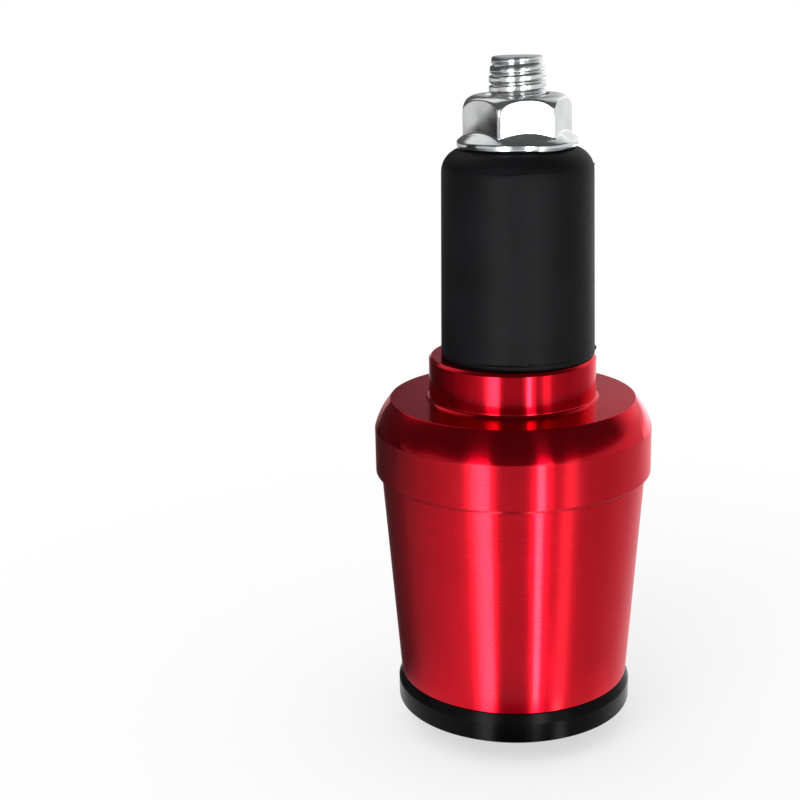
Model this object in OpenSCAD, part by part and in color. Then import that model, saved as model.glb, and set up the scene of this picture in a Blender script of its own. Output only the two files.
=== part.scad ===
// Bar end weight: a turned weight with a domed end cap, and the expanding plug
// that holds it in the end of a handlebar. It stands on the rim of the cap's
// counterbore, with the plug pointing up. Millimetres, +Z up, origin on the
// weight's axis at the level it stands on.

/* [Weight] */
// Diameter of the widest band
band_d = 30; // [29.2:0.1:40]
// Height of the widest band
band_h = 5; // [2:0.1:12]
// Diameter of the cone where it meets the band
cone_top_d = 28.8; // [27:0.1:28.9]
// Diameter of the cone where it meets the end cap
cone_bottom_d = 25.3; // [22:0.1:25.8]
// Height of the cone
cone_h = 23.5; // [10:0.5:50]
// Diameter of the flat shoulder that the bar's end meets
shoulder_d = 26.5; // [22:0.1:28]
// Height of the convex bevel between the band and the shoulder
bevel_h = 3.2; // [2:0.1:4]
// Radius of the convex bevel's curve
bevel_r = 8; // [6:0.5:30]
// Diameter of the neck that fits inside the bar
neck_d = 18; // [17:0.1:21]
// Height of the neck
neck_h = 4.65; // [2:0.05:12]
// Radius of the fillet at the foot of the neck
neck_fillet = 0.4; // [0.2:0.1:1]
// Radius of the fillet under the band, where the step has room for it
step_fillet = 0.4; // [0.1:0.05:1]
// Small bevel on the weight's sharp edges
edge = 0.15; // [0.05:0.05:0.3]

/* [End cap] */
// Diameter of the end cap
cap_d = 26; // [25.5:0.1:30]
// Height of the end cap's straight band
cap_band_h = 2.1; // [1:0.1:6]
// Height of the end cap's bevel, which narrows it to the cone
cap_bevel_h = 1.05; // [0.5:0.05:2]
// Depth of the dome, from the straight band to the counterbore's rim
dome_h = 3; // [2:0.1:5]
// Thickness of the cap's floor under the screw's head
floor_t = 2.4; // [1.5:0.1:4]
// Diameter of the spigot that centres the cap in the weight
spigot_d = 16; // [14:0.1:18]
// Clearance round the spigot, on the radius
spigot_gap = 0.1; // [0.05:0.05:0.3]

/* [Clamp screw] */
// Diameter of the screw over its thread
screw_d = 5.9; // [5:0.1:6.2]
// Length of the screw's tip that stands out of the nut
tip_out = 3.8; // [1.5:0.1:12]
// Diameter of the screw's head
head_d = 10; // [8.5:0.1:10.4]
// Height of the screw's head
head_h = 6; // [5:0.1:7]
// Depth of the head's face below the counterbore's rim
head_sink = 0.8; // [0.2:0.1:1.4]
// Width of the hexagon socket across its flats
socket_af = 5; // [4:0.1:5.5]
// Depth of the hexagon socket
socket_depth = 3.4; // [2:0.1:4]
// Radius of the head's rounded edge
head_round = 0.5; // [0.2:0.1:1]
// Height of the bevel at the screw's tip
tip_h = 1; // [0.3:0.1:2]
// Width of the bevel at the screw's tip
tip_w = 0.37; // [0.1:0.01:0.6]
// Room for the screw to shift sideways in the weight and the cap, on the radius
side_room = 0.65; // [0.65:0.05:0.8]
// How far the loose screw, bush and nut have shifted sideways
stack_shift = 0.6; // [0:0.05:0.6]

/* [Expander bush] */
// Diameter of the rubber bush where it meets the neck
bush_bottom_d = 16.48; // [14:0.02:18]
// Diameter of the rubber bush at the start of its rounded top edge
bush_top_d = 15.96; // [14:0.02:18]
// Length of the rubber bush
bush_l = 22.1; // [16:0.1:24]
// Radius of the bush's rounded top edge
bush_round = 2.5; // [0.5:0.1:3]
// Clearance between the bush and the screw, on the radius
bush_gap = 0.2; // [0.1:0.05:0.5]

/* [Flange nut] */
// Width of the nut across its flats
nut_af = 10; // [9:0.1:10.8]
// Diameter of the nut's flange
flange_d = 12.7; // [12.5:0.1:14.5]
// Height of the nut with its flange
nut_h = 5.4; // [4.5:0.1:8]
// Height of the flange's straight rim
rim_h = 0.8; // [0.5:0.1:1.2]
// Slope of the flange's top, in degrees
flange_slope = 37; // [20:1:45]
// Radius to which the nut's top corners are rounded
corner_round = 1.7; // [0.5:0.1:2]
// Clearance between the nut and the screw, on the radius
nut_gap = 0.05; // [0.02:0.01:0.1]
// Depth of the countersinks in the nut's bore
countersink = 0.4; // [0.2:0.1:0.6]
// Turn of the nut about its axis, in degrees
nut_turn = 6.4; // [-30:0.1:30]

/* [Hidden] */
$fn = 96;
// Overshoot of a cut past the face that it opens
eps = 0.5;
// Number of sides of a hexagon
hex = 6;

// Levels, from the ground up
dome_z = dome_h;
cap_edge_z = dome_z + cap_band_h;
joint_z = cap_edge_z + cap_bevel_h;
band_z = joint_z + cone_h;
bevel_z = band_z + band_h;
shoulder_z = bevel_z + bevel_h;
neck_z = shoulder_z + neck_h;
bush_z = neck_z;
nut_z = bush_z + bush_l;
head_z = head_sink + head_h;
spigot_z = head_z + floor_t;

// Fillet under the band, and the radius of the cone where it ends
step_r = min(step_fillet, (band_d - cone_top_d) / 2 - edge);
step_foot_r = cone_top_d / 2 - step_r * (cone_top_d - cone_bottom_d) / 2 / cone_h;

// Length of the screw under its head
screw_l = nut_z + nut_h + tip_out - head_z;

// Radii of the holes that the screw passes through
screw_room_r = screw_d / 2 + side_room;
counterbore_r = head_d / 2 + side_room;

// Centre height and radius of the dome's sphere, through its rim and the counterbore's rim
dome_centre_z = (pow(cap_d / 2, 2) + pow(dome_h, 2) - pow(counterbore_r, 2)) / (2 * dome_h);
dome_r = norm([counterbore_r, dome_centre_z]);

// Centre of a circle of radius r that bulges outwards through the points low and high
function arc_centre(low, high, r) =
    let (half = (high - low) / 2)
    let (inward = [-half.y, half.x] / norm(half))
    (low + high) / 2 + inward * sqrt(r * r - half * half);

// A disc of revolution with small bevels on its lower and upper edges
module bevelled(r_low, r_high, h, low, high) {
    rotate_extrude()
        polygon([
            [0, 0],
            [r_low - low, 0],
            [r_low, low],
            [r_high, h - high],
            [r_high - high, h],
            [0, h]
        ]);
}

// A hexagonal bar standing on its origin, with its flats facing along Y
module hex_bar(af, h) {
    cylinder(d = af / cos(180 / hex), h = h, $fn = hex);
}

// The bevel between band and shoulder, turned to a shallow curve
module convex_bevel() {
    low = [band_d / 2, 0];
    high = [shoulder_d / 2, bevel_h];
    rotate_extrude()
        intersection() {
            square([band_d / 2, bevel_h]);
            translate(arc_centre(low, high, bevel_r))
                circle(r = bevel_r);
        }
}

// A fillet round the foot of a shaft of radius r
module foot_fillet(r, fillet) {
    rotate_extrude()
        translate([r, 0])
            difference() {
                translate([-eps, 0])
                    square([fillet + eps, fillet]);
                translate([fillet, fillet])
                    circle(r = fillet);
            }
}

// Half the outline of a plug with a rounded top edge, straight or tapered
module plug_outline(r_low, r_high, h, round) {
    round_z = h - round;
    polygon([
        [0, 0],
        [r_low, 0],
        [r_high, round_z],
        [0, round_z]
    ]);
    square([r_high - round, h]);
    translate([r_high - round, round_z])
        intersection() {
            circle(r = round);
            square(round);
        }
}

module weight() {
    color("crimson")
        difference() {
            union() {
                translate([0, 0, joint_z])
                    bevelled(cone_bottom_d / 2, cone_top_d / 2, cone_h, edge, 0);
                translate([0, 0, band_z])
                    bevelled(band_d / 2, band_d / 2, band_h, edge, 0);
                translate([0, 0, band_z])
                    mirror([0, 0, 1])
                        foot_fillet(step_foot_r, step_r);
                translate([0, 0, bevel_z])
                    convex_bevel();
                translate([0, 0, shoulder_z])
                    bevelled(neck_d / 2, neck_d / 2, neck_h, 0, edge * 2);
                translate([0, 0, shoulder_z])
                    foot_fillet(neck_d / 2, neck_fillet);
            }
            translate([0, 0, joint_z - eps])
                cylinder(r = screw_room_r, h = neck_z - joint_z + 2 * eps);
            translate([0, 0, joint_z - eps])
                cylinder(r = spigot_d / 2 + spigot_gap, h = spigot_z + spigot_gap - joint_z + eps);
        }
}

// The cap's outline below the weight: bevel, straight band and dome
module cap_outline() {
    intersection() {
        union() {
            translate([0, cap_edge_z])
                polygon([
                    [0, 0],
                    [cap_d / 2, 0],
                    [cone_bottom_d / 2, cap_bevel_h],
                    [0, cap_bevel_h]
                ]);
            square([cap_d / 2, cap_edge_z]);
        }
        union() {
            translate([0, dome_centre_z])
                circle(r = dome_r);
            translate([0, dome_z])
                square([cap_d / 2, joint_z]);
        }
        square([cap_d / 2, joint_z]);
    }
}

module end_cap() {
    color("#202022")
        difference() {
            union() {
                rotate_extrude()
                    cap_outline();
                translate([0, 0, joint_z])
                    bevelled(spigot_d / 2, spigot_d / 2, spigot_z - joint_z, 0, edge * 2);
            }
            translate([0, 0, -eps])
                cylinder(r = counterbore_r, h = head_z + eps);
            translate([0, 0, head_z - eps])
                cylinder(r = screw_room_r, h = floor_t + 2 * eps);
        }
}

module clamp_screw() {
    color("silver")
        translate([stack_shift, 0, head_sink])
            difference() {
                union() {
                    translate([0, 0, head_h])
                        mirror([0, 0, 1])
                            rotate_extrude()
                                plug_outline(head_d / 2, head_d / 2, head_h, head_round);
                    cylinder(d = screw_d, h = head_h + screw_l - tip_h);
                    translate([0, 0, head_h + screw_l - tip_h])
                        cylinder(d1 = screw_d, d2 = screw_d - 2 * tip_w, h = tip_h);
                }
                translate([0, 0, -eps])
                    hex_bar(socket_af, socket_depth + eps);
            }
}

module expander_bush() {
    color("#2c2c2e")
        translate([stack_shift, 0, bush_z])
            difference() {
                rotate_extrude()
                    plug_outline(bush_bottom_d / 2, bush_top_d / 2, bush_l, bush_round);
                translate([0, 0, -eps])
                    cylinder(r = screw_d / 2 + bush_gap, h = bush_l + 2 * eps);
            }
}

// A countersink that opens downwards from its origin
module nut_countersink(r) {
    translate([0, 0, -eps])
        cylinder(r1 = r + countersink + eps, r2 = r, h = countersink + eps);
}

module flange_nut() {
    bore_r = screw_d / 2 + nut_gap;
    corner_r = nut_af / 2 / cos(180 / hex);
    cone_rise = (flange_d / 2) * tan(flange_slope);
    color("lightgray")
        translate([stack_shift, 0, nut_z])
            rotate([0, 0, nut_turn])
                difference() {
                    union() {
                        intersection() {
                            hex_bar(nut_af, nut_h);
                            rotate_extrude()
                                plug_outline(corner_r, corner_r, nut_h, corner_round);
                        }
                        cylinder(d = flange_d, h = rim_h);
                        intersection() {
                            translate([0, 0, rim_h])
                                cylinder(r1 = flange_d / 2, r2 = 0, h = cone_rise);
                            cylinder(d = flange_d, h = nut_h);
                        }
                    }
                    translate([0, 0, -eps])
                        cylinder(r = bore_r, h = nut_h + 2 * eps);
                    nut_countersink(bore_r);
                    translate([0, 0, nut_h])
                        mirror([0, 0, 1])
                            nut_countersink(bore_r);
                }
}

weight();
end_cap();
clamp_screw();
expander_bush();
flange_nut();
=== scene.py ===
"""Looks of the bar end weight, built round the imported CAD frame.

Each CAD node is replaced by a finer mesh of the same form: softened edges, a real thread, a knurled
head, a formed nut and the rubber's moulding flash. The object's sizes are in millimetres, under the
names that the part's source gives them, and the stage's are in metres. +Z is up, and the object
stands on z = 0.
"""

import math

import bmesh
import bpy
from mathutils import Matrix, Vector


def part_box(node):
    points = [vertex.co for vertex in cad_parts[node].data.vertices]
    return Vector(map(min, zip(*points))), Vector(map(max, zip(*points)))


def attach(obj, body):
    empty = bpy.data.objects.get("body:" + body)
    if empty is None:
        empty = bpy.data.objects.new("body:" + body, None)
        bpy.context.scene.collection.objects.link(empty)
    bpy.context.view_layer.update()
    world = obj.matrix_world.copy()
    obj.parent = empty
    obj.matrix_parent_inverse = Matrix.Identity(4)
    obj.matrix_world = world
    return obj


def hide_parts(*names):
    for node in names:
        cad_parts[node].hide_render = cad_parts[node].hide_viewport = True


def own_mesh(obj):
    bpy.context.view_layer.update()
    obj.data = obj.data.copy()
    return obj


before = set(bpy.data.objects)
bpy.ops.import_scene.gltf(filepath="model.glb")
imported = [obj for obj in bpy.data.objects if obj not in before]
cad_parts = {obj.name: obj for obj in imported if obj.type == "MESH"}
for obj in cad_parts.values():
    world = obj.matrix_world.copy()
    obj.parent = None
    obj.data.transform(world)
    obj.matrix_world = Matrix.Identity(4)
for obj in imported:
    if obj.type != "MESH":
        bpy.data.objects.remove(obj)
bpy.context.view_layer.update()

MM = 0.001
TURN = 2 * math.pi
HEX = 6
SHARP = math.radians(38)


def levels_of(node):
    """Lowest and highest level of a CAD node, in millimetres."""
    low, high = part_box(node)
    return low.z / MM, high.z / MM


# Levels that the frame gives
JOINT_Z, NECK_Z = levels_of("weight")
SPIGOT_Z = levels_of("end_cap")[1]
HEAD_FACE_Z, TIP_Z = levels_of("clamp_screw")
BUSH_Z, NUT_Z = levels_of("expander_bush")
NUT_TOP_Z = levels_of("flange_nut")[1]

# Softened edges that several pieces share
EDGE = 0.15
SOFT = 0.1
FINE = 0.08

# Weight
BAND_R = 15.0
BAND_H = 5.0
BAND_EDGE = 0.23
CONE_TOP_R = 14.4
CONE_BOTTOM_R = 12.65
CONE_H = 23.5
SHOULDER_R = 13.25
BEVEL_H = 3.2
BEVEL_R = 8.0
BEVEL_EDGE = 0.12
NECK_R = 9.0
NECK_FILLET = 0.4
NECK_BEVEL = 0.3
SCREW_ROOM_R = 3.6
# A little less than the source's, to leave room for the softened edge under the band
STEP_FILLET = 0.35

# End cap
CAP_R = 13.0
CAP_BAND_H = 2.1
CAP_EDGE = 0.12
DOME_H = 3.0
COUNTERBORE_R = 5.65
COUNTERBORE_EDGE = 0.06
SPIGOT_R = 8.0
SPIGOT_EDGE = 0.3
SPIGOT_GAP = 0.1

# Clamp screw
SCREW_R = 2.95
ROOT_R = 2.66
PITCH = 1.0
THREAD_L = 24.0
RUN_OUT = 1.2
HEAD_R = 5.0
HEAD_H = 6.0
HEAD_ROUND = 0.5
HEAD_FILLET = 0.3
KNURL_TEETH = 36
KNURL_DEPTH = 0.09
SOCKET_AF = 5.0
SOCKET_DEPTH = 3.4
TIP_H = 2.1
TIP_W = 0.34
TIP_CURVE = 1.25
TIP_SHALLOW = 0.4
STACK_SHIFT = 0.6

# Expander bush
BUSH_BOTTOM_R = 8.24
BUSH_TOP_R = 7.98
BUSH_ROUND = 2.5
BUSH_BORE_R = 3.15

# Flange nut
NUT_AF = 10.0
FLANGE_R = 6.35
RIM_H = 0.8
FLANGE_SLOPE = 37.0
CORNER_ROUND = 1.7
COUNTERSINK = 0.4
NUT_TURN = 6.4
THREAD_GAP = 0.05

STACK = (STACK_SHIFT, 0.0)
BAND_Z = JOINT_Z + CONE_H
BEVEL_Z = BAND_Z + BAND_H
SHOULDER_Z = BEVEL_Z + BEVEL_H
HEAD_Z = HEAD_FACE_Z + HEAD_H
CAP_EDGE_Z = DOME_H + CAP_BAND_H

# Height of the thread's flank at each share of a pitch, from a crest to the next
THREAD_FORM = (
    (0.0, 1.0),
    (0.18, 1.0),
    (0.28, 0.96),
    (0.36, 0.78),
    (0.43, 0.25),
    (0.5, 0.0),
    (0.57, 0.25),
    (0.64, 0.78),
    (0.72, 0.96),
    (0.82, 1.0),
)

# The drill's point in the screw's socket: radius, and depth past the socket's floor
DRILL_POINT = ((0, 0.55), (1.7, 0.06), (2.0, 0.0))

# Waves round the axis, each with its height, its count in a turn and its start. The first two
# groups go from 0 to 1 about their mean.
WAVE_MEAN = 0.5
FLASH_WAVES = ((0.25, 3, 0.4), (0.25, 7, 2.1))
RIM_WAVES = ((0.3, 2, 0.8), (0.2, 5, 2.0))
RIM_RISE_WAVES = ((0.05, 3, 1.1), (0.035, 7, 0.0))

# Rows of the nut's rim, each with its inset, and its level from the seat or from the rim's top
RIM_LOW_ROWS = ((0.06, 0.12), (0.0, 0.26))
RIM_HIGH_ROWS = ((0.0, -0.14), (0.03, -0.05), (0.12, 0.03))

# Darkest and lightest colour of each material, and its range of roughness
RED = ((0.56, 0.0006, 0.0105), (0.66, 0.0014, 0.0155))
PLASTIC = ((0.0010, 0.0010, 0.0013), (0.0028, 0.0028, 0.0034))
RUBBER = ((0.0019, 0.0020, 0.0028), (0.0040, 0.0041, 0.0054))
ZINC = ((0.58, 0.63, 0.65), (0.76, 0.77, 0.76))
TURNED_ROUGH = (0.242, 0.268)
POLISHED_ROUGH = 0.13
PLASTIC_ROUGH = (0.17, 0.25)
RUBBER_ROUGH = (0.48, 0.60)
ZINC_ROUGH = (0.13, 0.24)
NOISE_RANGE = (0.3, 0.7)
TINT_RANGE = (0.35, 0.65)

# What the coarser noise of a finish adds to its roughness or its relief
RED_CLOUD_ROUGH = 0.05
RED_COARSE_RELIEF = 0.8
ZINC_CLOUD_RELIEF = 3.0

# Painted shade: a darker red painted into the corner under the band, where shade falls.
# Its colour, its share and its levels about the step
PAINTED_SHADE_RED = (0.33, 0.0006, 0.008)
PAINTED_SHADE_SHARE = 0.7
PAINTED_SHADE_BELOW = (-0.6, -0.15)
PAINTED_SHADE_ABOVE = (0.0, 0.4)

# Camera, in metres, degrees and, for its lens and sensor, millimetres
VIEW_AZIMUTH = -4.4
CAMERA_PLACE = (-0.0122, -0.160, 0.083)
CAMERA_PITCH = 15.85
CAMERA_ROLL = -1.35
CAMERA_LENS = 68.94
CAMERA_SENSOR = 36.0

# Floor: its half width, the distances between which the shadow fades, and its plain white share
FLOOR_HALF = 6.0
SHADOW_RUN = (0.03, 0.11)
FLOOR_PLAIN = 0.6

WHITE = (1.0, 1.0, 1.0, 1.0)

# World: the fill for the shading, and the studio that gloss sees. Each glow has its azimuth, its
# rise for each metre out, the closeness at which it starts and is full, and its strength.
WORLD_FILL = 0.95
STUDIO_LEVEL = 0.09
STUDIO_GLOWS = (
    (-142, 1.1, 0.905, 0.955, 0.85),
    (137, 0.9, 0.935, 0.98, 0.55),
    (140, 0.0, 0.68, 1.05, 1.3),
)
LAMP_AIM_Z = 0.035

# Gloss ring: runs from its foot, which lies on a circle round the axis, and levels
RING_FOOT_R = 0.0135
SHADED_RUN = 0.0085
NEAR_RUN = 0.112
RING_REACH = 0.25
RING_LEVEL = 0.0002
RING_RIM = 0.09
RING_RIM_BACK = 0.06
RIM_REACH = 1.2
RIM_TOP = 0.31
NEAR_EDGE = 0.002
FAR_EDGE = 0.012
RIM_EDGE = 0.001

# Glow of the ring at azimuths that the turned walls mirror to the camera: of the stretch that the
# cone and the band mirror, of the one that the neck mirrors, and of the rim
RING_GLOW = (
    (-180, 0.85, 0.85, 0.9),
    (-175, 0.85, 0.85, 0.9),
    (-169, 0.14, 0.2, 0.6),
    (-150, 0.07, 0.06, 0.45),
    (-137, 0.12, 0.05, 0.65),
    (-122, 0.22, 0.05, 0.75),
    (-108, 0.5, 0.05, 0.78),
    (-97, 0.62, 0.06, 0.78),
    (-80, 0.76, 0.15, 0.6),
    (-60, 0.98, 0.35, 0.7),
    (-47, 1.25, 0.65, 0.8),
    (-42, 2.1, 1.4, 1.9),
    (-36, 6.5, 6.0, 6.0),
    (-31, 9.5, 8.0, 9.0),
    (-25.5, 9.5, 8.0, 9.0),
    (-20, 1.3, 0.6, 0.8),
    (-14, 0.92, 0.35, 0.4),
    (7, 0.92, 0.35, 0.4),
    (14, 1.25, 0.9, 1.2),
    (17.5, 15.0, 13.0, 13.0),
    (20, 15.0, 13.0, 13.0),
    (23.5, 1.6, 1.3, 9.0),
    (30, 0.9, 0.5, 0.9),
    (35.5, 1.1, 0.75, 0.9),
    (41, 2.4, 1.6, 2.0),
    (46.5, 2.4, 1.6, 2.0),
    (53, 1.1, 0.5, 0.9),
    (61, 0.8, 0.35, 0.8),
    (80, 0.7, 0.25, 0.8),
    (90, 0.72, 0.3, 0.85),
    (102, 0.82, 0.35, 0.9),
    (115, 0.84, 0.45, 0.95),
    (132, 0.98, 0.7, 0.9),
    (152, 0.9, 0.9, 0.9),
    (180, 0.85, 0.85, 0.9),
)

# Glow of the ring's shaded foot at the same azimuths: dark in front, and with the strips' light
FOOT_GLOW = (
    (-180, 0.8),
    (-150, 1.0),
    (-120, 1.1),
    (-90, 1.1),
    (-60, 1.0),
    (-46, 0.8),
    (-40, 2.5),
    (-35, 5.5),
    (-28, 6.0),
    (-22, 0.5),
    (-15, 0.04),
    (4, 0.04),
    (11, 0.3),
    (17, 2.8),
    (21, 2.8),
    (25, 0.5),
    (35, 0.5),
    (40, 6.0),
    (45, 6.0),
    (51, 0.9),
    (80, 1.0),
    (110, 1.5),
    (150, 1.2),
    (180, 0.8),
)

# Share of the rim's full height and reach at the same azimuths: low at the back
RIM_FRONT = ((-180, 0.0), (-90, 0.0), (-65, 1.0), (105, 1.0), (135, 0.0), (180, 0.0))

# Upright cards: name, distance, glow, and the heights of the edges at azimuths
WALL_CARDS = (
    (
        "dark_near_wall",
        0.06,
        0.08,
        (
            (-66, 0.031, 0.0312),
            (-90, 0.031, 0.0375),
            (-112, 0.031, 0.0450),
            (-145, 0.031, 0.0450),
        ),
    ),
    (
        "dark_low_wall",
        0.2,
        0.02,
        (
            (-88, 0.001, 0.030),
            (-96, 0.001, 0.034),
            (-150, 0.001, 0.034),
        ),
    ),
    (
        "bright_low_wall",
        0.2,
        2.0,
        (
            (124, 0.001, 0.034),
            (168, 0.001, 0.034),
        ),
    ),
    (
        "dark_card_at_nut",
        0.014,
        0.02,
        (
            (-72, 0.062, 0.0690),
            (-80.5, 0.062, 0.0687),
            (-82.7, 0.062, 0.0682),
            (-85.8, 0.062, 0.0671),
            (-89.8, 0.062, 0.0663),
            (-92.4, 0.062, 0.0657),
            (-97, 0.062, 0.0645),
        ),
    ),
)


# Meshes


def link(name, data):
    """A new object of a mesh, a lamp or a camera, in the scene."""
    made = bpy.data.objects.new(name, data)
    bpy.context.scene.collection.objects.link(made)
    return made


def mesh_of(bm, name):
    """The finished mesh of a bmesh, which is freed."""
    mesh = bpy.data.meshes.new(name)
    bm.to_mesh(mesh)
    bm.free()
    return mesh


def rounded(corners, steps=6):
    """The points of an outline whose corners (r, z, fillet radius) are rounded off."""
    points = []
    for i, (r, z, fillet) in enumerate(corners):
        corner = Vector((r, z))
        if not fillet:
            points.append((r, z))
            continue
        back = Vector(corners[i - 1][:2]) - corner
        ahead = Vector(corners[(i + 1) % len(corners)][:2]) - corner
        half = back.angle(ahead) / 2
        reach = fillet / math.tan(half)
        inward = (back.normalized() + ahead.normalized()).normalized()
        centre = corner + inward * fillet / math.sin(half)
        start = corner + back.normalized() * reach - centre
        sweep = start.angle_signed(corner + ahead.normalized() * reach - centre)
        for k in range(steps + 1):
            turned = start.copy()
            turned.rotate(Matrix.Rotation(-sweep * k / steps, 2))
            points.append(tuple(centre + turned))
    return points


def arc_points(low, high, radius, steps):
    """Points strictly between low and high on a circle that bulges outwards."""
    low, high = Vector(low), Vector(high)
    half = (high - low) / 2
    inward = Vector((-half.y, half.x)).normalized()
    centre = (low + high) / 2 + inward * math.sqrt(radius**2 - half.length_squared)
    start = math.atan2(low.y - centre.y, low.x - centre.x)
    end = math.atan2(high.y - centre.y, high.x - centre.x)
    angles = [start + (end - start) * k / steps for k in range(1, steps)]
    return [
        (centre.x + radius * math.cos(a), centre.y + radius * math.sin(a)) for a in angles
    ]


def quarter(steps):
    """The sine and the cosine at each step of a quarter turn."""
    angles = [TURN / 4 * k / steps for k in range(steps + 1)]
    return [(math.sin(a), math.cos(a)) for a in angles]


def waves(base, angle, terms):
    """A value with waves round the axis added to it."""
    for height, count, start in terms:
        base += height * math.sin(count * angle + start)
    return base


def hexagon(across_flats, turn=0.0):
    """Radius of a hexagon at an angle, with a corner at turn."""
    sector = TURN / HEX

    def radius(angle):
        off = (angle - math.radians(turn)) % sector - sector / 2
        return across_flats / 2 / math.cos(off)

    return radius


def corner_radius(across_flats):
    """Distance of a hexagon's corners from its centre."""
    return across_flats / 2 / math.cos(TURN / HEX / 2)


def soft_max(a, b, width):
    """The larger value, with the change from one to the other rounded over a width."""
    h = max(width - abs(a - b), 0.0) / width
    return max(a, b) + h * h * width / 4


def soft_min(a, b, width):
    """The smaller value, rounded in the same way."""
    return -soft_max(-a, -b, width)


class Thread:
    """A stretch of an outline that carries a screw thread, from one level to another."""

    def __init__(self, start, end, radius):
        self.start, self.end, self.radius = start, end, radius


def thread_height(angle, z):
    """Height of the thread there, from 0 at the root to 1 at the crest."""
    share = (z / PITCH - angle / TURN) % 1.0
    ends = THREAD_FORM + ((1.0, 1.0),)
    for (a, low), (b, high) in zip(ends, ends[1:]):
        if share <= b:
            return low + (high - low) * (share - a) / (b - a)
    return 1.0


def patch(bm, verts):
    """A face through the vertices that differ, or none."""
    distinct = list(dict.fromkeys(verts))
    if len(distinct) > 2:
        bm.faces.new(distinct)


def weave(bm, below, above):
    """Faces between two rings of the same count."""
    for k in range(len(below)):
        n = (k + 1) % len(below)
        patch(bm, (below[k], below[n], above[n], above[k]))


def thread_rings(bm, angles, place, thread):
    """Weaves a thread whose rows climb with it, and returns its lower and upper ring."""
    low_z, high_z = sorted((thread.start, thread.end))
    turns = range(math.floor(low_z / PITCH) - 2, math.ceil(high_z / PITCH) + 2)
    rows = [(turn + share) * PITCH for turn in turns for share, _ in THREAD_FORM]
    columns = []
    for angle in angles:
        low = place(angle, thread.radius(angle, low_z), low_z)
        high = place(angle, thread.radius(angle, high_z), high_z)
        column = []
        for row in rows:
            z = row + PITCH * angle / TURN
            if z <= low_z:
                column.append(low)
            elif z >= high_z:
                column.append(high)
            else:
                column.append(place(angle, thread.radius(angle, z), z))
        columns.append(column)
    # After a full turn a row meets the one that is a pitch above it
    per_turn = len(THREAD_FORM)
    columns.append(columns[0][per_turn:] + [columns[0][-1]] * per_turn)
    for left, right in zip(columns, columns[1:]):
        for i in range(len(rows) - 1):
            patch(bm, (left[i], right[i], right[i + 1], left[i + 1]))
    return [c[0] for c in columns[:-1]], [c[-1] for c in columns[:-1]]


def revolve(name, rows, columns, centre=(0.0, 0.0), turn=0.0):
    """A closed surface about a vertical axis, woven from the rows of a half outline.

    A row is a (radius, level) pair, either of which may be a function of the angle, or a Thread.
    The outline starts and ends on the axis, or else runs round a bore and closes on itself.
    """
    bm = bmesh.new()
    angles = [math.radians(turn) + TURN * k / columns for k in range(columns)]

    def place(angle, r, z):
        x = centre[0] + r * math.cos(angle)
        y = centre[1] + r * math.sin(angle)
        return bm.verts.new((x * MM, y * MM, z * MM))

    def ring(row):
        r, z = row
        if r == 0:
            return [place(0.0, 0.0, z)] * columns
        return [
            place(a, r(a) if callable(r) else r, z(a) if callable(z) else z)
            for a in angles
        ]

    first = last = None
    for row in rows:
        if isinstance(row, Thread):
            start, end = thread_rings(bm, angles, place, row)
            if row.start > row.end:
                start, end = end, start
        else:
            start = end = ring(row)
        if last:
            weave(bm, last, start)
        first, last = first or start, end
    if first[0] is not first[1]:
        weave(bm, last, first)

    bmesh.ops.recalc_face_normals(bm, faces=bm.faces)
    for face in bm.faces:
        face.smooth = True
    for edge in bm.edges:
        if len(edge.link_faces) == 2 and edge.calc_face_angle() > SHARP:
            edge.smooth = False
    piece = link(name, mesh_of(bm, name))
    normals = piece.modifiers.new("even_normals", "WEIGHTED_NORMAL")
    normals.keep_sharp = True
    return piece


# Pieces


def weight_piece():
    """The turned weight: cone, step, band, convex bevel, shoulder, neck, bore and pocket."""
    bevel = arc_points((BAND_R, BEVEL_Z), (SHOULDER_R, SHOULDER_Z), BEVEL_R, steps=14)
    pocket_r, pocket_z = SPIGOT_R + SPIGOT_GAP, SPIGOT_Z + SPIGOT_GAP
    corners = [
        (pocket_r, JOINT_Z, SOFT),
        (CONE_BOTTOM_R, JOINT_Z, EDGE),
        (CONE_TOP_R, BAND_Z, STEP_FILLET),
        (BAND_R, BAND_Z, BAND_EDGE),
        (BAND_R, BEVEL_Z, BEVEL_EDGE),
        *[(r, z, 0) for r, z in bevel],
        (SHOULDER_R, SHOULDER_Z, SOFT),
        (NECK_R, SHOULDER_Z, NECK_FILLET),
        (NECK_R, NECK_Z - NECK_BEVEL, FINE),
        (NECK_R - NECK_BEVEL, NECK_Z, FINE),
        (SCREW_ROOM_R, NECK_Z, SOFT),
        (SCREW_ROOM_R, pocket_z, SOFT),
        (pocket_r, pocket_z, SOFT),
    ]
    return revolve("weight_turned", rounded(corners), columns=288)


def dome_radius():
    """Radius of the dome's sphere, through its rim and the counterbore's rim."""
    centre_z = (CAP_R**2 + DOME_H**2 - COUNTERBORE_R**2) / (2 * DOME_H)
    return math.hypot(COUNTERBORE_R, centre_z)


def cap_piece():
    """The domed cap, with the counterbore for the screw's head and the spigot."""
    dome = arc_points((COUNTERBORE_R, 0.0), (CAP_R, DOME_H), dome_radius(), steps=16)
    corners = [
        (COUNTERBORE_R, 0.0, COUNTERBORE_EDGE),
        *[(r, z, 0) for r, z in dome],
        (CAP_R, DOME_H, CAP_EDGE),
        (CAP_R, CAP_EDGE_Z, CAP_EDGE),
        (CONE_BOTTOM_R, JOINT_Z, FINE),
        (SPIGOT_R, JOINT_Z, SOFT),
        (SPIGOT_R, SPIGOT_Z, SPIGOT_EDGE),
        (SCREW_ROOM_R, SPIGOT_Z, EDGE),
        (SCREW_ROOM_R, HEAD_Z, SOFT),
        (COUNTERBORE_R, HEAD_Z, SOFT),
    ]
    return revolve("end_cap_moulded", rounded(corners), columns=256)


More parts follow.
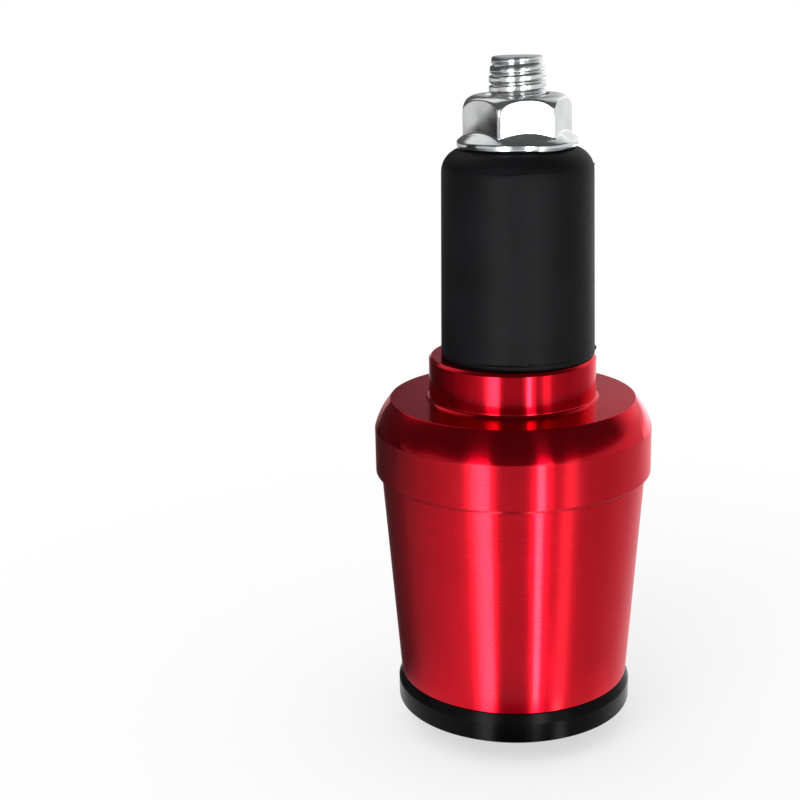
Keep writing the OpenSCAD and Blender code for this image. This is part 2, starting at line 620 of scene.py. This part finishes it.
def screw_piece():
    """The socket screw: socket, knurled head, plain shank, thread and tapered tip."""
    socket = hexagon(SOCKET_AF)
    chamfer_r = corner_radius(SOCKET_AF) + EDGE
    floor_z = HEAD_FACE_Z + SOCKET_DEPTH
    thread_z = TIP_Z - THREAD_L
    tip_r = SCREW_R - TIP_W
    knurl_start, knurl_full, knurl_end, head_bevel = 0.75, 0.9, 0.3, 0.2
    tip_edge, tip_ring = 0.12, 0.2
    shank_end = 0.2

    def knurl(angle):
        return HEAD_R - KNURL_DEPTH * (0.5 - 0.5 * math.cos(KNURL_TEETH * angle))

    def chamfer_z(angle):
        return HEAD_FACE_Z + (chamfer_r - socket(angle)) * math.tan(TURN / 12)

    def radius(angle, z):
        ramp = min(max((z - thread_z) / (RUN_OUT * PITCH), 0.0), 1.0)
        cut = (SCREW_R - ROOT_R) * (1 - thread_height(angle, z)) * ramp
        taper = max((z - TIP_Z + TIP_H) / TIP_H, 0.0) ** TIP_CURVE
        return SCREW_R - cut * (1 - TIP_SHALLOW * taper) - TIP_W * taper

    rows = [
        *[(r, floor_z + depth) for r, depth in DRILL_POINT],
        (lambda a: socket(a) - FINE, floor_z),
        (socket, floor_z - FINE),
        (socket, chamfer_z),
        (chamfer_r, HEAD_FACE_Z),
        *[
            (HEAD_R - HEAD_ROUND * (1 - sine), HEAD_FACE_Z + HEAD_ROUND * (1 - cosine))
            for sine, cosine in quarter(steps=5)
        ],
        (HEAD_R, HEAD_FACE_Z + knurl_start),
        (knurl, HEAD_FACE_Z + knurl_full),
        (knurl, HEAD_Z - knurl_end),
        (HEAD_R - head_bevel, HEAD_Z),
        *[
            (SCREW_R + HEAD_FILLET * (1 - sine), HEAD_Z + HEAD_FILLET * (1 - cosine))
            for sine, cosine in quarter(steps=4)
        ],
        (SCREW_R, thread_z - shank_end),
        Thread(thread_z, TIP_Z - FINE, radius),
        (tip_r - tip_edge, TIP_Z),
        (tip_r - tip_ring, TIP_Z),
        (0, TIP_Z),
    ]
    return revolve("clamp_screw_threaded", rows, columns=144, centre=STACK)


def bush_piece():
    """A tapered plug with a rounded top edge and the thin flash of its mould's two joints."""
    round_z = NUT_Z - BUSH_ROUND
    foot_edge = 0.25
    foot_mid = (0.08, 0.07)
    side_start = 0.4
    low_z, top_z = BUSH_Z + 0.62, NUT_Z - 1.9
    half_flash = 0.07
    low_least, low_most = 0.005, 0.36
    top_least, top_most = 0.01, 0.2

    def side_r(z):
        share = (z - BUSH_Z) / (round_z - BUSH_Z)
        return BUSH_BOTTOM_R + (BUSH_TOP_R - BUSH_BOTTOM_R) * share

    def crown_r(z):
        rise = max(z - round_z, 0.0)
        return BUSH_TOP_R - BUSH_ROUND + math.sqrt(BUSH_ROUND**2 - rise**2)

    def flash(base, most):
        return lambda angle: base + most * waves(WAVE_MEAN, angle, FLASH_WAVES) ** 3

    crown = [
        (BUSH_TOP_R - BUSH_ROUND * (1 - cosine), round_z + BUSH_ROUND * sine)
        for sine, cosine in quarter(steps=16)
    ]
    rows = [
        (BUSH_BORE_R + SOFT, BUSH_Z),
        (BUSH_BOTTOM_R - foot_edge, BUSH_Z),
        (BUSH_BOTTOM_R - foot_mid[0], BUSH_Z + foot_mid[1]),
        (side_r(BUSH_Z + foot_edge), BUSH_Z + foot_edge),
        (side_r(low_z), low_z - half_flash),
        (flash(side_r(low_z) + low_least, low_most), low_z),
        (side_r(low_z), low_z + half_flash),
        (side_r(low_z + side_start), low_z + side_start),
        *[p for p in crown if p[1] < top_z - half_flash],
        (crown_r(top_z - half_flash), top_z - half_flash),
        (flash(crown_r(top_z) + top_least, top_most), top_z),
        (crown_r(top_z + half_flash), top_z + half_flash),
        *[p for p in crown if p[1] > top_z + half_flash],
        (BUSH_BORE_R + EDGE, NUT_Z),
        (BUSH_BORE_R, NUT_Z - EDGE),
        (BUSH_BORE_R, BUSH_Z + SOFT),
    ]
    return revolve("expander_bush_moulded", rows, columns=224, centre=STACK)


def nut_piece():
    """A cold formed flange nut: a hexagon with a rounded crown, a coned flange and a thread."""
    flat = hexagon(NUT_AF, NUT_TURN)
    corner_r = corner_radius(NUT_AF)
    rim_z = NUT_Z + RIM_H
    round_z = NUT_TOP_Z - CORNER_ROUND
    slope = math.tan(math.radians(FLANGE_SLOPE))
    seat_inset, rim_wave, cone_inset = 0.24, 0.07, 0.1
    corner_cut, corner_blend, flank_blend, crown_blend = 0.02, 0.08, 0.15, 0.14
    flank_low, flank_high = rim_z + 0.12, round_z - 0.1
    flank_steps, crown_steps = 26, 30

    def wavy(inset):
        return lambda angle: FLANGE_R - inset - rim_wave * waves(WAVE_MEAN, angle, RIM_WAVES)

    def wavy_z(z):
        return lambda angle: waves(z, angle, RIM_RISE_WAVES)

    def prism(angle):
        return soft_min(flat(angle), corner_r - corner_cut, corner_blend)

    def flank(z):
        cone = FLANGE_R - (z - rim_z) / slope - cone_inset
        return lambda angle: soft_max(cone, prism(angle), flank_blend)

    def crown(share):
        turned = TURN / 4 * share
        r = corner_r - CORNER_ROUND * (1 - math.cos(turned))
        z = round_z + CORNER_ROUND * math.sin(turned)
        return (lambda angle: soft_min(prism(angle), r, crown_blend), z)

    def bore(angle, z):
        thread = ROOT_R + THREAD_GAP + (SCREW_R - ROOT_R) * thread_height(angle, z)
        sink = SCREW_R + COUNTERSINK
        top = sink - (NUT_TOP_Z - z)
        bottom = sink - (z - NUT_Z)
        return max(thread, top, bottom)

    flank_levels = [
        flank_low + (flank_high - flank_low) * k / flank_steps for k in range(flank_steps + 1)
    ]
    rows = [
        (wavy(seat_inset), NUT_Z),
        *[(wavy(inset), wavy_z(NUT_Z + rise)) for inset, rise in RIM_LOW_ROWS],
        *[(wavy(inset), wavy_z(rim_z + rise)) for inset, rise in RIM_HIGH_ROWS],
        *[(flank(z), z) for z in flank_levels],
        *[crown(k / crown_steps) for k in range(crown_steps + 1)],
        Thread(NUT_TOP_Z, NUT_Z, bore),
    ]
    return revolve("flange_nut_formed", rows, columns=240, centre=STACK, turn=NUT_TURN)


# Materials


def add(tree, kind, inputs=None, **settings):
    """A shader node with its settings and its inputs, which are values or other nodes' outputs."""
    node = tree.nodes.new(kind)
    for key, value in settings.items():
        setattr(node, key, value)
    for key, value in (inputs or {}).items():
        if isinstance(value, bpy.types.NodeSocket):
            tree.links.new(value, node.inputs[key])
        else:
            node.inputs[key].default_value = value
    return node


def math_node(tree, operation, a, b=0.0, c=0.0):
    """The result of an operation on values or other nodes' outputs."""
    return add(tree, "ShaderNodeMath", {0: a, 1: b, 2: c}, operation=operation).outputs[0]


def spread(tree, value, low, high, to_low, to_high, smooth=False):
    """Maps a value from one range to another, held at its ends."""
    node = add(
        tree,
        "ShaderNodeMapRange",
        {"Value": value, "From Min": low, "From Max": high, "To Min": to_low, "To Max": to_high},
        interpolation_type="SMOOTHSTEP" if smooth else "LINEAR",
    )
    return node.outputs["Result"]


def blend_value(tree, share, a, b):
    """Mixes two values."""
    return add(tree, "ShaderNodeMix", {0: share, 2: a, 3: b}, data_type="FLOAT").outputs[0]


def blend_colour(tree, share, a, b):
    """Mixes two colours; each is three numbers or another node's output."""
    a, b = [c if isinstance(c, bpy.types.NodeSocket) else (*c, 1.0) for c in (a, b)]
    return add(tree, "ShaderNodeMix", {0: share, 6: a, 7: b}, data_type="RGBA").outputs[2]


def noise(tree, vector, scale, detail=2.0, roughness=0.5):
    """Fractal noise of a vector in metres; scale is in features per metre."""
    node = add(
        tree,
        "ShaderNodeTexNoise",
        {"Vector": vector, "Scale": scale, "Detail": detail, "Roughness": roughness},
    )
    return node.outputs["Fac"]


def clouded(tree, cloud, colours, span=NOISE_RANGE):
    """A colour that wanders with a noise between the darkest and the lightest."""
    return blend_colour(tree, spread(tree, cloud, *span, 0.0, 1.0), *colours)


def object_place(tree):
    """The point that is shaded, in metres, in the object's own frame."""
    return add(tree, "ShaderNodeTexCoord").outputs["Object"]


def turned_place(tree, place):
    """Distance of a point from the Z axis, and its level."""
    x, y, level = add(tree, "ShaderNodeSeparateXYZ", {0: place}).outputs
    squares = math_node(tree, "MULTIPLY_ADD", x, x, math_node(tree, "MULTIPLY", y, y))
    return math_node(tree, "SQRT", squares), level


def turned_lines(tree, radius, level, width):
    """Fine lines that run round the axis, as a lathe leaves them; width in millimetres."""
    across = add(tree, "ShaderNodeCombineXYZ", {0: radius, 1: level, 2: 0.0}).outputs[0]
    return noise(tree, across, 1 / (width * MM), detail=1.0)


def bumped(tree, height, strength, distance):
    """A normal that a height tilts; distance in metres."""
    inputs = {"Strength": strength, "Distance": distance, "Height": height}
    return add(tree, "ShaderNodeBump", inputs).outputs[0]


def material(name):
    """A new material with its node tree and its shader."""
    made = bpy.data.materials.new(name)
    made.use_nodes = True
    tree = made.node_tree
    return made, tree, tree.nodes["Principled BSDF"]


def feed(tree, shader, **links):
    """Connects outputs to the shader's sockets, named with underscores."""
    for key, value in links.items():
        tree.links.new(value, shader.inputs[key.replace("_", " ")])


def set_values(shader, values):
    """Sets constants on the shader's own sockets."""
    for key, value in values.items():
        shader.inputs[key].default_value = value


def red_anodised():
    """Anodised aluminium: turned on the cone and the band, polished on all above them, with painted
    shade in the corner under the band.
    """
    made, tree, shader = material("red_anodised")
    place = object_place(tree)
    radius, level = turned_place(tree, place)
    fine = turned_lines(tree, radius, level, width=0.16)
    coarse = turned_lines(tree, radius, level, width=0.45)
    cloud = noise(tree, place, scale=140.0, detail=3.0)
    polished = spread(tree, level, BEVEL_Z * MM, (BEVEL_Z + EDGE) * MM, 0.0, 1.0)
    turned_rough = spread(tree, coarse, *NOISE_RANGE, *TURNED_ROUGH)
    rough = blend_value(tree, polished, turned_rough, POLISHED_ROUGH)
    rough = math_node(tree, "MULTIPLY_ADD", cloud, RED_CLOUD_ROUGH, rough)
    colour = clouded(tree, cloud, RED)
    # Painted shade: the red is darkened about the step under the band, as shade falls in that
    # corner.
    below = [(BAND_Z + z) * MM for z in PAINTED_SHADE_BELOW]
    above = [(BAND_Z + z) * MM for z in PAINTED_SHADE_ABOVE]
    painted_shade_upper_fade = spread(tree, level, *above, PAINTED_SHADE_SHARE, 0.0, smooth=True)
    painted_shade_lower_rise = spread(tree, level, *below, 0.0, PAINTED_SHADE_SHARE, smooth=True)
    colour = blend_colour(tree, math_node(tree, "MINIMUM", painted_shade_upper_fade, painted_shade_lower_rise), colour, PAINTED_SHADE_RED)
    height = math_node(tree, "MULTIPLY_ADD", coarse, RED_COARSE_RELIEF, fine)
    tangent = add(tree, "ShaderNodeTangent", direction_type="RADIAL", axis="Z").outputs[0]
    normal = bumped(tree, height, strength=0.018, distance=0.0000012)
    feed(tree, shader, Base_Color=colour, Roughness=rough, Normal=normal, Tangent=tangent)
    set_values(
        shader,
        {
            "Metallic": 1.0,
            "Anisotropic": 1.0,
            "Anisotropic Rotation": 0.25,
            "Specular Tint": (1.0, 0.62, 0.67, 1.0),
            "Coat Weight": 0.2,
            "Coat Roughness": 0.1,
        },
    )
    return made


def satin_plastic():
    """Black plastic with a satin skin."""
    made, tree, shader = material("black_satin_plastic")
    place = object_place(tree)
    grain = noise(tree, place, scale=5200.0)
    cloud = noise(tree, place, scale=190.0, detail=4.0)
    colour = clouded(tree, cloud, PLASTIC)
    rough = spread(tree, cloud, *NOISE_RANGE, *PLASTIC_ROUGH)
    normal = bumped(tree, grain, strength=0.25, distance=0.000006)
    feed(tree, shader, Base_Color=colour, Roughness=rough, Normal=normal)
    set_values(shader, {"IOR": 1.5, "Specular IOR Level": 0.05})
    return made


def moulded_rubber():
    """Black rubber with a fine matt grain."""
    made, tree, shader = material("moulded_rubber")
    place = object_place(tree)
    grain = noise(tree, place, scale=3600.0, detail=3.0, roughness=0.65)
    cloud = noise(tree, place, scale=240.0, detail=4.0)
    colour = clouded(tree, cloud, RUBBER)
    rough = spread(tree, grain, *NOISE_RANGE, *RUBBER_ROUGH)
    normal = bumped(tree, grain, strength=0.4, distance=0.00001)
    feed(tree, shader, Base_Color=colour, Roughness=rough, Normal=normal)
    set_values(shader, {"IOR": 1.5, "Specular IOR Level": 0.12})
    return made


def zinc_plate():
    """Bright plated steel, a little uneven, with a faint change of tint."""
    made, tree, shader = material("zinc_plate")
    place = object_place(tree)
    cloud = noise(tree, place, scale=420.0, detail=4.0)
    grain = noise(tree, place, scale=6500.0)
    tint = noise(tree, place, scale=230.0, detail=1.0)
    colour = clouded(tree, tint, ZINC, TINT_RANGE)
    rough = spread(tree, cloud, *NOISE_RANGE, *ZINC_ROUGH)
    height = math_node(tree, "MULTIPLY_ADD", cloud, ZINC_CLOUD_RELIEF, grain)
    normal = bumped(tree, height, strength=0.24, distance=0.00001)
    feed(tree, shader, Base_Color=colour, Roughness=rough, Normal=normal)
    set_values(shader, {"Metallic": 1.0})
    return made


# Stage


def light_paths(tree):
    """What sees the point, 1 for yes: the camera alone, and the camera, gloss or glass."""
    path = add(tree, "ShaderNodeLightPath").outputs
    seen = math_node(tree, "MAXIMUM", path["Is Camera Ray"], path["Is Glossy Ray"])
    return path["Is Camera Ray"], math_node(tree, "MAXIMUM", seen, path["Is Transmission Ray"])


def show(made, share, a, b):
    """Ends a material's tree in a mix of two shaders."""
    tree = made.node_tree
    mixed = add(tree, "ShaderNodeMixShader", {0: share, 1: a, 2: b})
    tree.links.new(mixed.outputs[0], tree.nodes["Material Output"].inputs[0])


def floor_piece():
    """A pale floor that keeps the object's shadow and turns plain white further out."""
    bm = bmesh.new()
    bmesh.ops.create_grid(bm, x_segments=8, y_segments=8, size=FLOOR_HALF)
    floor = link("floor", mesh_of(bm, "floor"))
    made, tree, shader = material("pale_floor")
    set_values(
        shader,
        {"Base Color": (0.9, 0.9, 0.9, 1.0), "Roughness": 0.9, "Specular IOR Level": 0.0},
    )
    radius, _ = turned_place(tree, object_place(tree))
    far = spread(tree, radius, *SHADOW_RUN, 0.0, 1.0, smooth=True)
    _, seen = light_paths(tree)
    share = math_node(tree, "MULTIPLY", math_node(tree, "MAXIMUM", far, FLOOR_PLAIN), seen)
    white = add(tree, "ShaderNodeEmission", {"Color": WHITE, "Strength": 1.0})
    show(made, share, shader.outputs[0], white.outputs[0])
    floor.data.materials.append(made)


def heading(azimuth):
    """The level direction at an azimuth, which is 0 towards the camera and 90 towards +X."""
    turned = math.radians(azimuth)
    return Vector((math.sin(turned), -math.cos(turned), 0.0))


def raised(height):
    """An upward step, in metres."""
    return Vector((0.0, 0.0, height))


def world_light():
    """White for the camera, an even fill for the shading, and a dark studio for the gloss."""
    world = bpy.data.worlds.new("studio")
    bpy.context.scene.world = world
    world.use_nodes = True
    tree = world.node_tree
    camera, seen = light_paths(tree)
    direction = add(tree, "ShaderNodeTexCoord").outputs["Generated"]

    def glow(azimuth, rise, start, full, strength):
        centre = (heading(azimuth) + raised(rise)).normalized()
        vectors = {0: direction, 1: tuple(centre)}
        toward = add(tree, "ShaderNodeVectorMath", vectors, operation="DOT_PRODUCT")
        return spread(tree, toward.outputs["Value"], start, full, 0.0, strength, smooth=True)

    studio, *others = [glow(*row) for row in STUDIO_GLOWS] + [STUDIO_LEVEL]
    for other in others:
        studio = math_node(tree, "ADD", studio, other)
    in_gloss = math_node(tree, "MAXIMUM", studio, camera)
    background = tree.nodes["Background"].inputs
    tree.links.new(blend_value(tree, seen, WORLD_FILL, in_gloss), background["Strength"])
    background["Color"].default_value = WHITE


def softbox(azimuth, low, high, distance, width, radiance):
    """A flat lamp that faces the object; its edges' heights, distance and width are in metres."""
    height = high - low
    data = bpy.data.lights.new("softbox", "AREA")
    data.shape = "RECTANGLE"
    data.size, data.size_y = width, height
    data.energy = radiance * math.pi * width * height
    lamp = link("softbox", data)
    lamp.location = heading(azimuth) * distance + raised((low + high) / 2)
    aim = raised(LAMP_AIM_Z) - lamp.location
    lamp.rotation_euler = aim.to_track_quat("-Z", "Y").to_euler()
    lamp.visible_camera = lamp.visible_glossy = False


def glossy_only(card):
    """Gives a card its glow attribute's light, which gloss alone sees and a diffuse bounce ends."""
    made, tree, _ = material(card.name)
    glow = add(tree, "ShaderNodeAttribute", attribute_name="glow").outputs["Fac"]
    bounced = add(tree, "ShaderNodeLightPath").outputs["Diffuse Depth"]
    direct = math_node(tree, "LESS_THAN", bounced, 0.5)
    clear = add(tree, "ShaderNodeBsdfTransparent").outputs[0]
    light = add(tree, "ShaderNodeEmission", {"Strength": glow}).outputs[0]
    show(made, direct, clear, light)
    card.data.materials.append(made)
    card.visible_camera = card.visible_diffuse = card.visible_shadow = False
    card.visible_transmission = False


def card_piece(name, columns):
    """A card woven from columns of (place, glow) points."""
    bm = bmesh.new()
    layer = bm.verts.layers.float.new("glow")
    woven = []
    for column in columns:
        woven.append([])
        for place, glow in column:
            vert = bm.verts.new(place)
            vert[layer] = glow
            woven[-1].append(vert)
    for left, right in zip(woven, woven[1:]):
        for i in range(len(left) - 1):
            bm.faces.new((left[i], right[i], right[i + 1], left[i + 1]))
    glossy_only(link(name, mesh_of(bm, name)))


def wall_card(name, distance, glow, profile):
    """An upright bent card; profile lists its edges' heights at azimuths."""
    columns = []
    for azimuth, low, high in profile:
        foot = heading(azimuth) * distance
        columns.append([(foot + raised(level), glow) for level in (low, high)])
    card_piece(name, columns)


def eased(table, at):
    """The values of a table's rows at a place between them, eased from row to row."""
    for before, after in zip(table, table[1:]):
        if at <= after[0]:
            share = (at - before[0]) / (after[0] - before[0])
            share *= share * (3 - 2 * share)
            return [a + (b - a) * share for a, b in zip(before[1:], after[1:])]
    return list(table[-1][1:])


def gloss_ring(name, step=0.5):
    """The studio's light strips as the turned metal sees them: a ring on the floor with a rim.

    From the foot outwards it has a shaded stretch, the stretch that the cone and the band mirror,
    and the one that the neck mirrors. The bush, the nut and the screw mirror the raised rim.
    """
    columns = []
    for k in range(round(360 / step) + 1):
        azimuth = -180 + k * step
        near, far, rim = eased(RING_GLOW, azimuth)
        (shaded,) = eased(FOOT_GLOW, azimuth)
        (front,) = eased(RIM_FRONT, azimuth)
        foot = heading((azimuth + VIEW_AZIMUTH) / 2) * RING_FOOT_R
        rim_z = RING_RIM_BACK + (RING_RIM - RING_RIM_BACK) * front
        top_run = RING_REACH + (RIM_REACH - RING_REACH) * front + RIM_EDGE
        top_z = rim_z + (RIM_TOP - RING_RIM) * front + RIM_EDGE
        profile = (
            (0.0, RING_LEVEL, shaded),
            (SHADED_RUN, RING_LEVEL, shaded),
            (SHADED_RUN + NEAR_EDGE, RING_LEVEL, near),
            (NEAR_RUN, RING_LEVEL, near),
            (NEAR_RUN + FAR_EDGE, RING_LEVEL, far),
            (RING_REACH, RING_LEVEL, far),
            (RING_REACH, RING_LEVEL + FAR_EDGE, rim),
            (RING_REACH, rim_z, rim),
            (top_run, top_z, rim),
        )
        outward = heading(azimuth)
        columns.append([(foot + outward * run + raised(z), glow) for run, z, glow in profile])
    card_piece(name, columns)


def camera_view():
    """The photograph's view: a long lens, a little above the part and to its left."""
    data = bpy.data.cameras.new("camera")
    data.sensor_width = CAMERA_SENSOR
    data.lens = CAMERA_LENS
    data.clip_start = 0.01
    data.clip_end = 100.0
    camera = link("camera", data)
    camera.location = CAMERA_PLACE
    pitched = Matrix.Rotation(math.radians(90 - CAMERA_PITCH), 3, "X")
    rolled = Matrix.Rotation(math.radians(CAMERA_ROLL), 3, "Z")
    camera.rotation_euler = (pitched @ rolled).to_euler()
    bpy.context.scene.camera = camera


# The pieces, each on its body

PIECES = (
    (weight_piece, red_anodised, "weight", "weight", "red_aluminium"),
    (cap_piece, satin_plastic, "weight", "end_cap", "black_plastic"),
    (bush_piece, moulded_rubber, "weight", "expander_bush", "rubber"),
    (screw_piece, zinc_plate, "screw", "clamp_screw", "zinc_steel"),
    (nut_piece, zinc_plate, "nut", "flange_nut", "zinc_steel"),
)
finishes = {}
for make, finish, body, node, slot in PIECES:
    piece = make()
    if finish not in finishes:
        finishes[finish] = finish()
    piece.data.materials.append(finishes[finish])
    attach(piece, body)
    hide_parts(node)
    if node == "expander_bush":
        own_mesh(piece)

floor_piece()
world_light()
softbox(azimuth=-35, low=0.35, high=0.95, distance=0.7, width=0.6, radiance=2.2)
gloss_ring("gloss_ring")
for card in WALL_CARDS:
    wall_card(*card)
camera_view()

bpy.context.scene.view_settings.view_transform = "Standard"
